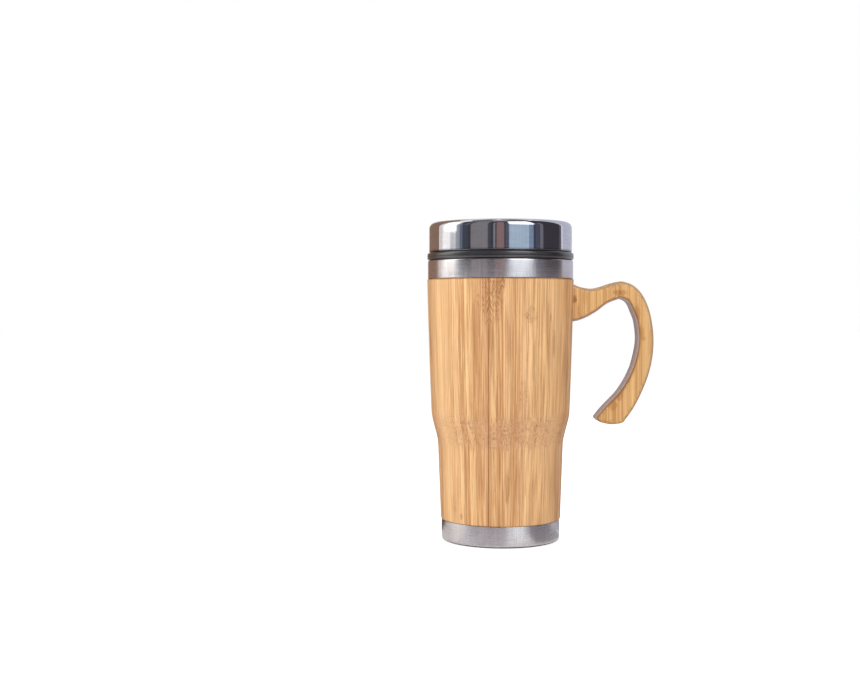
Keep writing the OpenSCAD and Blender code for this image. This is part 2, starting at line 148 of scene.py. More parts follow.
class MUG_PG_stage(bpy.types.PropertyGroup):
    """Light, floor and camera"""

    camera: FloatVectorProperty(name="Camera", description="Camera's place", default=(-0.0397, -0.726, 0.130),
                                size=3, unit="LENGTH", subtype="TRANSLATION")
    shift: FloatProperty(name="Camera shift", description="Rise of the picture's frame, in widths",
                         default=-0.0483)
    lens: FloatProperty(name="Lens", description="Focal length on a 36 mm sensor", default=53.8,
                        unit="CAMERA")
    world: FloatProperty(name="World", description="Strength of the light from all round", default=0.30,
                         min=0.0, max=1.0, subtype="FACTOR")
    key: power("Key", "Power of the large soft lamp in front", 7.1)
    side: power("Side", "Power of the soft lamp on the left", 4.5)
    fill: power("Fill", "Power of the soft lamp on the right", 3.4)
    top: power("Top", "Power of the lamp overhead", 4.0)


SETTINGS = ("mug_sizes", MUG_PG_sizes), ("mug_colours", MUG_PG_colours), ("mug_stage", MUG_PG_stage)


def sizes():
    return bpy.context.scene.mug_sizes


def colours():
    return bpy.context.scene.mug_colours


# Outlines and meshes


def mix(a, b, share_of_way):
    return a + (b - a) * share_of_way


def rounded(corners):
    """An outline from rows of (radius, height, corner radius), with its corners rounded."""
    points = []
    count = len(corners)
    for i, (r, z, fillet) in enumerate(corners):
        here = Vector((r, z))
        before, after = Vector(corners[i - 1][:2]) - here, Vector(corners[(i + 1) % count][:2]) - here
        if fillet <= 0 or before.length == 0 or after.length == 0:
            points.append((r, z))
            continue
        half = before.angle(after) / 2
        back = min(fillet / math.tan(half), before.length * 0.48, after.length * 0.48)
        fillet = back * math.tan(half)
        start, end = here + before.normalized() * back, here + after.normalized() * back
        centre = here + (before.normalized() + after.normalized()).normalized() * fillet / math.sin(half)
        a, b = start - centre, end - centre
        sweep = a.angle_signed(b)
        for k in range(CORNER_STEPS + 1):
            points.append(tuple(centre + Matrix.Rotation(-sweep * k / CORNER_STEPS, 2) @ a))
    return points


def new_object(name, data):
    thing = bpy.data.objects.new(name, data)
    bpy.context.scene.collection.objects.link(thing)
    return thing


def new_mesh(name, points, faces, crease=SMOOTH_ANGLE):
    """A piece from points in millimetres, shaded smooth between its creases."""
    mesh = bpy.data.meshes.new(name)
    mesh.from_pydata([tuple(c * MM for c in p) for p in points], [], faces)
    mesh.validate()
    mesh.polygons.foreach_set("use_smooth", [True] * len(mesh.polygons))
    mesh.set_sharp_from_angle(angle=crease)
    return new_object(name, mesh)


def write_values(piece, **values):
    """Writes a number for each point of a piece, under the names that its material reads."""
    for key, numbers in values.items():
        piece.data.attributes.new(key, "FLOAT", "POINT").data.foreach_set("value", numbers)


def turned(name, outline):
    """A piece from a closed outline that is turned round Z. On the axis a row is a single point."""
    points, faces, rows = [], [], []
    for r, z in outline:
        steps = TURN_STEPS if r > 0 else 1
        rows.append(range(len(points), len(points) + steps))
        points += [(r * math.cos(2 * math.pi * k / steps), r * math.sin(2 * math.pi * k / steps), z)
                   for k in range(steps)]
    for low, high in zip(rows, rows[1:] + rows[:1]):
        for k in range(TURN_STEPS if len(low) + len(high) > 2 else 0):
            corners = [row[i % len(row)] for row, i in ((low, k), (low, k + 1), (high, k + 1), (high, k))]
            faces.append(tuple(dict.fromkeys(corners)))
    return new_mesh(name, points, faces)


def finished(piece, material, body, replaces=()):
    """Gives a piece its material, its body and the nodes that it stands for."""
    piece.data.materials.clear()
    piece.data.materials.append(material)
    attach(piece, body)
    if replaces:
        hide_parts(*replaces)


def refinish(node, material):
    """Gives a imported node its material."""
    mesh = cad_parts[node].data
    mesh.materials.clear()
    mesh.materials.append(material)


# Sleeve and handle outlines, as the frame has them

SHOULDER_Z, SHOULDER_H = 63.0, 19.5
UPPER_R, LOWER_R, FOOT_R = SLEEVE_TOP_R - 2.75, SLEEVE_TOP_R - 5.8, SLEEVE_TOP_R - 7.7
FOOT_Z = BASE_TOP_Z + 0.2
SLEEVE_TOP_Z = COLLAR_Z - 0.3
BELLY = 0.2
BORE_FOOT_R = FOOT_R - 3.7
MOUTH_R = COLLAR_R - 4.9
NECK_Z = RIM_Z - 16.0
FLOOR_Z = 8.0

HANDLE_REACH, HANDLE_H, HANDLE_T = 44.8, 80.0, 14.6
HANDLE_TOP_Z = RIM_Z - 11.9
ROOT_W, ARCH_W, GRIP_W, TAIL_W = 23.0, 9.8, 9.0, 16.8
TAIL_BULGE = 3.2
HANDLE_EDGE_R = 2.6
HANDLE_SHARES = (
    (-0.072, 1.000, -92, ROOT_W),
    (0.070, 0.964, -89, mix(ROOT_W, ARCH_W, 0.33)),
    (0.205, 0.950, -80, mix(ROOT_W, ARCH_W, 0.70)),
    (0.333, 0.962, -71, mix(ROOT_W, ARCH_W, 0.97)),
    (0.484, 0.989, -82, ARCH_W),
    (0.616, 1.000, -95, ARCH_W),
    (0.766, 0.965, -114, ARCH_W),
    (0.881, 0.888, -133, mix(ARCH_W, ROOT_W, 0.02)),
    (0.963, 0.764, -158, GRIP_W),
    (1.000, 0.598, -184, GRIP_W),
    (0.977, 0.440, -200, mix(GRIP_W, TAIL_W, 0.12)),
    (0.908, 0.301, -205, mix(GRIP_W, TAIL_W, 0.20)),
    (0.797, 0.160, -207, mix(GRIP_W, TAIL_W, 0.40)),
    (0.704, 0.074, -198, mix(GRIP_W, TAIL_W, 0.74)),
    (0.642, 0.030, -185, TAIL_W),
)


def upper_side(z):
    t = (z - SHOULDER_Z) / (SLEEVE_TOP_Z - SHOULDER_Z)
    return mix(UPPER_R, SLEEVE_TOP_R, t) + 4 * BELLY * t * (1 - t)


def lower_side(z):
    return mix(FOOT_R, LOWER_R, (z - FOOT_Z) / (SHOULDER_Z - FOOT_Z))


def sleeve_r(z):
    """Outer radius of the bamboo at a height."""
    t = (z - SHOULDER_Z) / SHOULDER_H + 0.5
    if t >= 1:
        return upper_side(z)
    if t <= 0:
        return lower_side(z)
    return mix(lower_side(z), upper_side(z), t * t * (3 - 2 * t))


def spline(rows, steps):
    """A smooth curve through rows of numbers, with a number of steps from each to the next."""
    last = len(rows) - 1
    out = []
    for i in range(last):
        a, b, c, d = rows[max(i - 1, 0)], rows[i], rows[i + 1], rows[min(i + 2, last)]
        for k in range(steps):
            t = k / steps
            out.append([(2 * q + (r - p) * t + (2 * p - 5 * q + 4 * r - s) * t * t
                         + (3 * q - p - 3 * r + s) * t ** 3) / 2 for p, q, r, s in zip(a, b, c, d)])
    return out + [list(rows[last])]


# Shader building


def math_node(operation):
    """A method that adds a Math node for a value and others."""
    return lambda value, *others: value.shader.math(operation, value, *others)


class Value:
    """What a node puts out. Sums with it add Math nodes to its tree."""

    __add__ = math_node("ADD")
    __sub__ = math_node("SUBTRACT")
    __mul__ = math_node("MULTIPLY")
    __truediv__ = math_node("DIVIDE")
    __abs__ = math_node("ABSOLUTE")
    larger = math_node("MAXIMUM")

    def __init__(self, shader, socket):
        self.shader = shader
        self.socket = socket

    def __rsub__(self, other):
        return self.shader.math("SUBTRACT", other, self)

    def span(self, low, high, out_low=0.0, out_high=1.0):
        """The value from one range to another, with an even S-curve, held at its ends."""
        return self.shader.value("ShaderNodeMapRange", self, low, high, out_low, out_high,
                                 interpolation_type="SMOOTHSTEP")


class Shader:
    """Adds nodes to a tree. An input is a number, a colour or another node's value."""

    def __init__(self, tree):
        self.tree = tree
        self.place = 0

    def feed(self, made, key, value):
        """Sets or links an input of a node, by its name or its number."""
        socket = made.inputs[key.replace("_", " ") if isinstance(key, str) else key]
        if isinstance(value, Value):
            self.tree.links.new(value.socket, socket)
        elif isinstance(value, (int, float)):
            socket.default_value = value
        else:
            socket.default_value = (*value, 1.0)[:len(socket.default_value)]

    def node(self, kind, *numbered, **named):
        """Adds a node with inputs in order or by name, and with settings, whose names have small letters."""
        made = self.tree.nodes.new(kind)
        made.location = self.place % 12 * 190, -(self.place // 12) * 320
        self.place += 1
        inputs = dict(enumerate(numbered))
        for key, value in named.items():
            if key[0].isupper():
                inputs[key] = value
            else:
                setattr(made, key, value)
        for key, value in inputs.items():
            self.feed(made, key, value)
        return made

    def outputs(self, made):
        return {socket.name: Value(self, socket) for socket in made.outputs}

    def value(self, kind, *numbered, output=0, **named):
        """Adds a node, and gives one of its outputs."""
        return Value(self, self.node(kind, *numbered, **named).outputs[output])

    def xyz(self, vector):
        """The three numbers of a vector."""
        return self.outputs(self.node("ShaderNodeSeparateXYZ", vector)).values()

    def math(self, operation, *values):
        return self.value("ShaderNodeMath", *values, operation=operation)

    def join(self, x, y, z):
        return self.value("ShaderNodeCombineXYZ", x, y, z)

    def scaled(self, vector, scale):
        return self.value("ShaderNodeVectorMath", vector, operation="SCALE", Scale=scale)

    def polar(self, x, y):
        """The angle and the distance of a point from the axis."""
        return self.math("ARCTAN2", y, x), self.math("SQRT", x * x + y * y)

    def attribute(self, name):
        return self.value("ShaderNodeAttribute", output="Fac", attribute_name=name)

    def noise(self, vector, detail=2.0, rough=0.55, scale=1.0):
        return self.value("ShaderNodeTexNoise", Vector=vector, Scale=scale, Detail=detail, Roughness=rough)

    def bump(self, height, strength, distance):
        return self.value("ShaderNodeBump", Strength=strength, Distance=distance, Height=height)

    def blend(self, share_of_b, a, b):
        made = self.node("ShaderNodeMix", share_of_b, data_type="RGBA", clamp_factor=True)
        # The colours of a Mix node are its inputs 6 and 7, and its output 2.
        self.feed(made, 6, a)
        self.feed(made, 7, b)
        return Value(self, made.outputs[2])

    def layers(self, base, *rows):
        """Lays colours over a base in turn, from rows of (share, colour)."""
        for amount, tone in rows:
            base = self.blend(amount, base, tone)
        return base

    def group(self, name, *numbered, **named):
        """Places one of the node groups, and gives its outputs by name."""
        tree = bpy.data.node_groups.get(name) or new_group(name)
        return self.outputs(self.node("ShaderNodeGroup", *numbered, node_tree=tree, **named))

    def surface(self, **inputs):
        """Feeds the Principled BSDF."""
        for key, value in inputs.items():
            self.feed(self.tree.nodes["Principled BSDF"], key, value)


def grain_outputs(s, given):
    """Bamboo strips and fibres."""
    across, depth, along = s.xyz(given["Vector"])
    cut = {"voronoi_dimensions": "1D", "W": across / given["Strip"] + given["Seed"], "Scale": 1.0,
           "Randomness": 0.9}
    cells = s.value("ShaderNodeTexVoronoi", output="Color", **cut)
    strip, own, hue = s.outputs(s.node("ShaderNodeSeparateColor", cells)).values()
    edge = s.value("ShaderNodeTexVoronoi", feature="DISTANCE_TO_EDGE", **cut)
    # Each strip has its own piece of the pattern, far along the grain.
    far = along + own * 900.0

    def strands(width, place, stretch, detail, rough):
        return s.noise(s.join(across / width, depth / width, place / stretch), detail, rough)

    # The veins come from another place than the fibres, so that the two don't match.
    veins = strands(given["Vein"], far + 31.0, 210.0, 1.0, 0.4)
    return {
        "Tone": strands(1.3, far, 240.0, 2.0, 0.5),
        "Veins": veins.span(0.55, 0.60),
        "Streaks": veins.span(0.40, 0.45, 1.0, 0.0),
        "Fibres": strands(given["Fibre"], far, 150.0, 3.0, 0.6),
        "Dashes": strands(0.33, far, 3.2, 2.0, 0.55).span(0.60, 0.74),
        "Joint": edge.span(0.0, 0.045, 1.0, 0.0),
        "Drift": strands(14.0, along, 46.0, 2.0, 0.5),
        "Strip": strip,
        "Hue": hue.span(0.35, 0.9),
    }


def stroke_outputs(s, given):
    """Short dark strokes that lean to either side in turn, as cut fibres do."""
    across, depth, along = s.xyz(given["Vector"])
    wander = s.noise(s.join(across / 2.6, depth * 0.43, along / 6.0), 1.0)
    side = across + wander * 2.4
    fold = s.math("PINGPONG", side, given["Period"])
    row = s.math("FLOOR", side / (given["Period"] * 2.0))
    along = along + row * 7.3
    u, v = fold - along * given["Slant"], along + fold * given["Slant"]
    return {"Strokes": s.noise(s.join(u / given["Width"], row, v / given["Length"]), 2.0).span(0.49, 0.60)}


def knot_outputs(s, given):
    """The ragged patch round a bamboo node."""
    across, _, along = s.xyz(given["Vector"])
    u = (across - given["Across"]) / given["Half Width"]
    v = (along - given["Along"]) / given["Half Height"]
    far = u * u + v * v + s.noise(given["Vector"], 1.0, 0.5, 0.5) * 0.7
    return {"Area": far.span(0.55, 1.35, 1.0, 0.0) * given["Strength"]}


def brushed_outputs(s, given):
    """Brush lines that run round the axis, and faint upright bands across them."""
    x, y, height = s.xyz(given["Vector"])
    angle, radius = s.polar(x, y)
    # A circle closes on itself, so the lines have no seam.
    x, y = s.math("COSINE", angle) * 3.0, s.math("SINE", angle) * 3.0
    return {"Lines": s.noise(s.join(x, y, (height + radius) / given["Line"]), 2.0, 0.6),
            "Bands": s.noise(s.join(x * 14.0, y * 14.0, height / 14.0), 2.0, 0.5)}


def speckle_outputs(s, given):
    """Fine moulded or dusty texture, and a slow change of tone."""
    return {"Speckle": s.noise(s.scaled(given["Vector"], s.math("DIVIDE", 1.0, given["Size"])), 2.0, 0.6),
            "Patch": s.noise(s.scaled(given["Vector"], 0.09), 3.0, 0.55)}


# Node groups: what makes their outputs, and their inputs with defaults. Each also has a Vector in
# millimetres, which is (across, depth, along) for bamboo.
GROUPS = {
    "Bamboo grain": (grain_outputs, {"Strip": 4.4, "Fibre": 0.42, "Vein": 0.85, "Seed": 0.0}),
    "Leaning strokes": (stroke_outputs, {"Period": 1.3, "Slant": 0.32, "Width": 0.5, "Length": 4.5}),
    "Bamboo node": (knot_outputs, {"Across": 0.0, "Along": 0.0, "Half Width": 5.0, "Half Height": 10.0,
                                   "Strength": 1.0}),
    "Brushed steel": (brushed_outputs, {"Line": 0.16}),
    "Fine speckle": (speckle_outputs, {"Size": 0.25}),
}


def new_group(name):
    """Makes a node group, whose inputs and outputs are all plain numbers apart from its Vector."""
    maker, defaults = GROUPS[name]
    tree = bpy.data.node_groups.new(name, "ShaderNodeTree")
    tree.interface.new_socket("Vector", in_out="INPUT", socket_type="NodeSocketVector")
    for key, default in defaults.items():
        socket = tree.interface.new_socket(key, in_out="INPUT", socket_type="NodeSocketFloat")
        socket.default_value = default
    s = Shader(tree)
    made = maker(s, s.outputs(s.node("NodeGroupInput")))
    for key in made:
        tree.interface.new_socket(key, in_out="OUTPUT", socket_type="NodeSocketFloat")
    end = s.node("NodeGroupOutput")
    for key, value in made.items():
        s.feed(end, key, value)
    return tree


def new_material(name):
    """A material, its shader, and the object's own coordinates in millimetres."""
    material = bpy.data.materials.new(name)
    material.use_nodes = True
    s = Shader(material.node_tree)
    return material, s, s.scaled(s.value("ShaderNodeTexCoord", output="Object"), 1 / MM)


# Depths of the fibres, the brush lines, the hairlines and a moulded skin, in metres
FIBRE_RELIEF, BRUSH_RELIEF, HAIRLINE_RELIEF, SKIN_RELIEF = 0.00006, 0.00003, 0.00001, 0.00003
# Nodes of the sleeve's strips: degrees from the front, height, half width, half height, strength
SLEEVE_KNOTS = (
    (-10.5, 136.0, 8.5, 17.0, 1.0),
    (-3.0, 145.0, 4.0, 7.0, 0.9),
    (20.5, 126.5, 4.4, 5.5, 0.9),
    (15.0, 83.0, 3.5, 10.0, 0.35),
    (-52.0, 22.0, 4.0, 7.0, 0.4),
    (96.0, 112.0, 7.0, 12.0, 0.8),
    (141.0, 44.0, 8.0, 12.0, 0.8),
    (178.0, 126.0, 9.0, 14.0, 0.9),
    (-128.0, 101.0, 8.0, 13.0, 0.8),
    (-84.0, 60.0, 6.0, 10.0, 0.6),
)
# Darker and paler stretches of strips: degrees from the front, half width, and strength, pale when negative.
# The broad pale stretch at -58 degrees is partly the strips' own tone and partly a painted sheen of the light
# from the left.
SLEEVE_ZONES = (
    (-8.0, 7.5, 0.16), (-13.0, 3.0, 0.16), (-26.0, 3.5, 0.18), (6.0, 4.5, 0.17), (17.0, 4.0, -0.06),
    (26.0, 4.5, 0.20), (49.0, 8.0, -0.30), (-58.0, 14.0, -0.40), (118.0, 9.0, 0.14), (-118.0, 8.0, 0.14),
    (160.0, 10.0, -0.2), (-162.0, 8.0, 0.12))
# Brown stains along the fibres: degrees from the front, height, half width, half height, strength
SLEEVE_STAINS = (
    (-10.3, 115.0, 2.3, 11.0, 0.9),
    (43.5, 110.5, 1.3, 9.5, 0.9),
    (39.0, 125.0, 0.8, 3.0, 0.9),
    (33.0, 127.0, 3.0, 13.0, 0.4),
    (-33.0, 132.0, 0.8, 14.0, 0.6),
    (3.0, 34.0, 2.4, 11.0, 0.9),
    (-3.5, 42.0, 0.9, 14.0, 0.7),
    (-42.0, 16.5, 1.5, 2.4, 0.9),
    (28.0, 36.0, 1.0, 10.0, 0.6),
    (-20.0, 88.0, 1.4, 16.0, 0.6),
    (64.0, 92.0, 1.6, 16.0, 0.7),
    (112.0, 48.0, 2.2, 14.0, 0.8),
    (150.0, 104.0, 1.6, 18.0, 0.8),
    (-78.0, 112.0, 1.6, 15.0, 0.7),
    (-112.0, 58.0, 2.2, 14.0, 0.8),
    (-152.0, 120.0, 1.6, 15.0, 0.8),
)
# Dark joints between strips: degrees from the front at the sleeve's top, and strength
SLEEVE_JOINTS = ((-11.6, 1.0), (47.0, 0.35), (-61.0, 0.3), (102.0, 0.7), (168.0, 0.8), (-132.0, 0.8))


def wrapped(degrees):
    """The same direction within half a turn of zero."""
    return (degrees + 180) % 360 - 180


def round_sleeve(degrees):
    """Millimetres round the sleeve's top of a direction, in degrees from the front."""
    return math.radians(wrapped(degrees + FRONT)) * SLEEVE_TOP_R


def on_sleeve(rows):
    """Rows whose first number, in degrees from the front, is turned to millimetres round the sleeve."""
    return [(round_sleeve(degrees), *rest) for degrees, *rest in rows]


def knots(s, vector, rows):
    """Patches round several nodes: across, along, half width, half height and strength of each."""
    areas = [s.group("Bamboo node", vector, *row)["Area"] for row in rows]
    area = areas[0]
    for other in areas[1:]:
        area = area.larger(other)
    return area


def bamboo_material():
    """Sleeve: strips with fine fibres, broken grain on the shoulder, nodes and dark joints."""
    tones, size = colours(), sizes()
    material, s, vector = new_material("Bamboo sleeve")
    x, y, height = s.xyz(vector)
    angle, radius = s.polar(x, y)
    across = angle * SLEEVE_TOP_R
    # The depth is drawn together, because the fibres follow the taper.
    place = s.join(across, radius * 0.42, height)
    grain = s.group("Bamboo grain", place, Strip=size.sleeve_strip / MM, Fibre=size.fibre / MM,
                    Vein=size.vein / MM, Seed=3.7)
    fibres = grain["Fibres"].span(0.49, 0.58)
    # The cut ends of the fibres stand in a row of points, like the teeth of a comb.
    teeth = s.math("PINGPONG", across + grain["Drift"] * 9.0, 1.5)
    ragged = s.noise(s.join(across / 1.6, 5.0, 2.0)) * 5.0 + grain["Strip"] * 3.0
    ragged = height + ragged + teeth * 1.4
    shoulder = (ragged.span(SHOULDER_Z - 4.5, SHOULDER_Z - 2.0)
                * ragged.span(SHOULDER_Z + 10.0, SHOULDER_Z + 16.0, 1.0, 0.0))
    straight = 1.0 - shoulder * 0.6
    flecks = s.group("Leaning strokes", place, Period=1.7, Slant=0.5, Width=0.75, Length=2.4)["Strokes"]
    flecks = flecks * (shoulder * grain["Tone"].span(0.30, 0.62, 1.0, 0.45))
    tone = grain["Strip"] * 0.75 + grain["Tone"] * 0.42 + grain["Drift"] * 0.4
    base = s.layers(
        s.blend(tone.span(0.50, 1.05), tones.bamboo_mid, tones.bamboo_pale),
        (grain["Hue"] * 0.35, tones.bamboo_pink),
        (grain["Streaks"] * straight * 0.60, tones.bamboo_pale),
        (grain["Veins"] * straight * 0.45, tones.bamboo_dark),
        (fibres * 0.46, tones.bamboo_dark),
        (grain["Dashes"] * 0.30, tones.bamboo_dark),
        (shoulder * 0.34, tones.bamboo_pink),
        (flecks * 0.50, tones.bamboo_mark))

    # The joints are flat planes, so they stand farther round where the body is thinner.
    thinner = s.math("DIVIDE", SLEEVE_TOP_R, radius)
    wander = (s.noise(s.join(0.0, 7.0, height / 30.0)) - 0.5) * 0.5
    fade = s.noise(s.join(3.0, 1.0, height / 17.0), 1.0).span(0.30, 0.50, 0.35, 1.0)
    joints = grain["Joint"] * 0.20
    for degrees, strength in SLEEVE_JOINTS:
        arc = math.radians(degrees) * SLEEVE_TOP_R
        off = abs(across + wander - (thinner * arc + (round_sleeve(degrees) - arc)))
        joints = joints.larger(off.span(0.12, 0.48, strength, 0.0) * fade)
    base = s.blend(joints * 0.80, base, tones.bamboo_mark)
    for middle, half, strength in on_sleeve(SLEEVE_ZONES):
        zone = abs(across - middle).span(half * 0.3, half, abs(strength), 0.0)
        base = s.blend(zone, base, tones.bamboo_dark if strength > 0 else tones.bamboo_pale)

    stains = knots(s, place, on_sleeve(SLEEVE_STAINS)) * grain["Fibres"].span(0.36, 0.58, 0.35, 1.0)
    area = knots(s, place, on_sleeve(SLEEVE_KNOTS))
    flames = s.group("Leaning strokes", place, Period=1.75, Slant=0.36, Width=0.64, Length=4.6)["Strokes"]
    flames = flames * area
    # Painted shade: a dark line along the sleeve's top edge, under the collar.
    top = height.span(SLEEVE_TOP_Z - 0.9, SLEEVE_TOP_Z - 0.2)
    base = s.layers(base, (stains * 0.62, tones.bamboo_dark), (area * 0.14, tones.bamboo_dark),
                    (flames * 0.66, tones.bamboo_mark), (top * 0.55, tones.bamboo_mark))
    dips = (fibres * 0.5).larger(joints.larger(flecks)).larger(flames * 0.5)
    s.surface(Base_Color=base, Roughness=grain["Fibres"] * 0.16 + 0.46 + shoulder * 0.06,
              Normal=s.bump(1.0 - dips, 0.35, FIBRE_RELIEF), Specular_IOR_Level=0.42)
    return material


# Nodes of the handle's board: place across and up, half width, half height, strength
HANDLE_KNOTS = (
    (66.8, 139.0, 1.3, 0.9, 0.5),
    (40.9, 135.2, 2.0, 2.8, 1.0),
    (43.2, 129.0, 0.9, 6.0, 0.55),
    (57.5, 128.0, 1.2, 2.4, 0.3),
    (80.0, 113.0, 1.1, 1.4, 0.45),
)
# Brown stains on the handle's board, in the same order
HANDLE_STAINS = (
    (76.2, 126.5, 1.9, 6.5, 1.0),
    (79.0, 116.0, 1.6, 5.0, 0.6),
    (66.0, 82.5, 3.0, 5.0, 1.0),
    (62.5, 76.0, 3.0, 4.0, 0.9),
    (47.0, 136.0, 1.4, 7.0, 0.5),
    (66.5, 138.8, 4.6, 2.2, 1.0),
)


def board_material():
    """Handle: narrow strips side by side, rubbed darker along its inner edges, with painted shade on its
    rounded edges and a painted grey reflection on its sides, mostly the inner one.
    """
    tones, size = colours(), sizes()
    material, s, vector = new_material("Bamboo board")
    side, inner, rub = s.attribute("side"), s.attribute("inner"), s.attribute("rub")
    # The grain on the sides runs on along them, so it changes little across the board.
    across, depth, along = s.xyz(vector)
    grain = s.group("Bamboo grain", s.join(across * side.span(0.55, 0.75, 1.0, 0.12), depth, along),
                    Strip=size.handle_strip / MM, Fibre=size.fibre / MM * 0.6, Vein=size.vein / MM * 0.75,
                    Seed=11.3)
    tone = grain["Strip"] * 0.45 + grain["Tone"] * 0.7
    fibres = grain["Fibres"].span(0.48, 0.60)
    stains = knots(s, vector, HANDLE_STAINS) * grain["Fibres"].span(0.36, 0.58, 0.35, 1.0)
    flames = s.group("Leaning strokes", vector, Period=0.9, Slant=0.2, Width=0.5, Length=3.0)["Strokes"]
    flames = (flames * 0.35 + 0.65) * knots(s, vector, HANDLE_KNOTS)
    smear = s.noise(vector, 2.0, 0.6, 0.30).span(0.34, 0.60, 0.20, 1.0)
    # Painted shade on the rounded edges: the rim colour outside, the edge colour inside.
    corner = side.span(0.34, 0.60) * side.span(0.68, 0.88, 1.0, 0.0)
    # Painted reflection: a grey tone laid on the sides, mostly the inner one, which faces the sleeve.
    wear_and_painted_reflection = side.span(0.62, 0.84) * inner.span(0.0, 1.0, 0.10, 0.82)
    lines = fibres.larger(grain["Veins"]) * 0.30
    base = s.layers(
        s.blend(tone.span(0.25, 0.95), tones.board_mid, tones.board_pale),
        (grain["Hue"] * 0.25, tones.bamboo_pink),
        (grain["Streaks"] * 0.35, tones.board_pale),
        (grain["Veins"] * 0.50, tones.board_dark),
        (fibres * 0.44, tones.board_dark),
        (stains * 0.85, tones.board_rubbed),
        (grain["Dashes"] * 0.25, tones.board_dark),
        (flames * 0.85, tones.bamboo_mark),
        (rub * smear * 0.85, tones.board_rubbed),
        (corner * 0.55, s.blend(inner, tones.board_rim, tones.board_edge)),
        (wear_and_painted_reflection, s.blend(lines, tones.board_side, tones.board_dark)))
    relief = 1.0 - fibres.larger(grain["Joint"]) * 0.5
    s.surface(Base_Color=base, Roughness=grain["Fibres"] * 0.18 + 0.42,
              Normal=s.bump(relief, 0.3, FIBRE_RELIEF), Specular_IOR_Level=0.42)
    return material


def steel_material(name, tone, roughness, relief, painted_shade_below=0.0):
    """Satin steel, brushed round its axis, with painted shade below a height along its bottom edge."""
    material, s, vector = new_material(name)
    tone = tuple(getattr(colours(), tone))
    brushed = s.group("Brushed steel", vector, Line=sizes().brush_line / MM)
    shade = brushed["Lines"] * 0.6 + brushed["Bands"] * 0.4
    base = s.blend(shade.span(0.36, 0.62), [c * 0.80 for c in tone], tone)
    # Painted shade: below the height the steel turns dark, as a dark line along its bottom edge.
    if painted_shade_below:
        _, _, height = s.xyz(vector)
        base = s.blend(height.span(painted_shade_below * 0.65, painted_shade_below, 0.92, 0.0), base, colour(40, 36, 42))
    s.surface(Base_Color=base, Metallic=1.0, Roughness=brushed["Lines"] * 0.06 + (roughness - 0.03),
              Normal=s.bump(brushed["Lines"], relief, BRUSH_RELIEF),
              Tangent=s.value("ShaderNodeTangent", direction_type="RADIAL", axis="Z"),
              Anisotropic=0.8, Anisotropic_Rotation=0.25)
    return material


def polished_material():
    """Mirror-polished steel with faint hairlines, a few soft smudges and a painted dark reflection on its
    hem.
    """
    material, s, vector = new_material("Polished steel")
    tone = tuple(colours().bright_steel)
    brushed = s.group("Brushed steel", vector, Line=0.5)
    smudge = s.group("Fine speckle", vector, Size=2.4)["Patch"].span(0.45, 0.70, 0.035, 0.085)
    _, _, height = s.xyz(vector)
    # The hem is painted dark, standing in for the black flange that it reflects.
    base = s.layers(tone, (brushed["Lines"] * 0.5, [c * 0.86 for c in tone]),
                    (height.span(CAP_Z + 0.3, CAP_Z + 1.7, 0.80, 0.0), colour(48, 44, 50)))
    s.surface(Base_Color=base, Metallic=1.0, Roughness=smudge + brushed["Lines"] * 0.02,
              Normal=s.bump(brushed["Lines"], 0.35, HAIRLINE_RELIEF))
    return material


def moulded_material(name, tone, roughness, size, relief, coat=0.0, shine=0.5):
    """Moulded plastic, silicone or rubber with a fine skin."""
    material, s, vector = new_material(name)
    tone = tuple(getattr(colours(), tone))
    speckle = s.group("Fine speckle", vector, Size=size)
    wear_and_painted_reflection = [min(1.0, c * 1.35 + 0.004) for c in tone]
    shade = speckle["Speckle"] * 0.45 + speckle["Patch"] * 0.55
    s.surface(Base_Color=s.blend(shade.span(0.40, 0.66), tone, wear_and_painted_reflection),
              Roughness=speckle["Patch"] * 0.14 + (roughness - 0.06),
              Normal=s.bump(speckle["Speckle"], relief, SKIN_RELIEF),
              Coat_Weight=coat, Coat_Roughness=0.22, Coat_IOR=1.7, Specular_IOR_Level=shine)
    return material


# The mug's finishes: what makes them, from a name, a colour's name, roughness and other values
FINISHES = {
    "bamboo": (bamboo_material,),
    "board": (board_material,),
    "satin": (steel_material, "Brushed steel", "satin_steel", 0.26, 0.5),
    # The base's last number is the height below which its bottom edge gets painted shade.
    "base": (steel_material, "Base steel", "satin_steel", 0.27, 0.5, BASE_Z + 1.0),
    "liner": (steel_material, "Liner steel", "satin_steel", 0.34, 0.35),
    "screw": (steel_material, "Screw steel", "screw_steel", 0.36, 0.2),
    "polished": (polished_material,),
    "plastic": (moulded_material, "Black plastic", "black_plastic", 0.30, 0.22, 0.15, 0.7, 0.75),
    "deck": (moulded_material, "Black deck", "black_plastic", 0.46, 0.30, 0.30),
    "silicone": (moulded_material, "Silicone", "silicone", 0.58, 0.35, 0.15),
    "rubber": (moulded_material, "Base rubber", "rubber", 0.72, 0.30, 0.40),
}
MATERIALS = {}


def material(name):
    """One of the mug's finishes, made once."""
    if name not in MATERIALS:
        maker, *values = FINISHES[name]
        MATERIALS[name] = maker(*values)
    return MATERIALS[name]


# Pieces


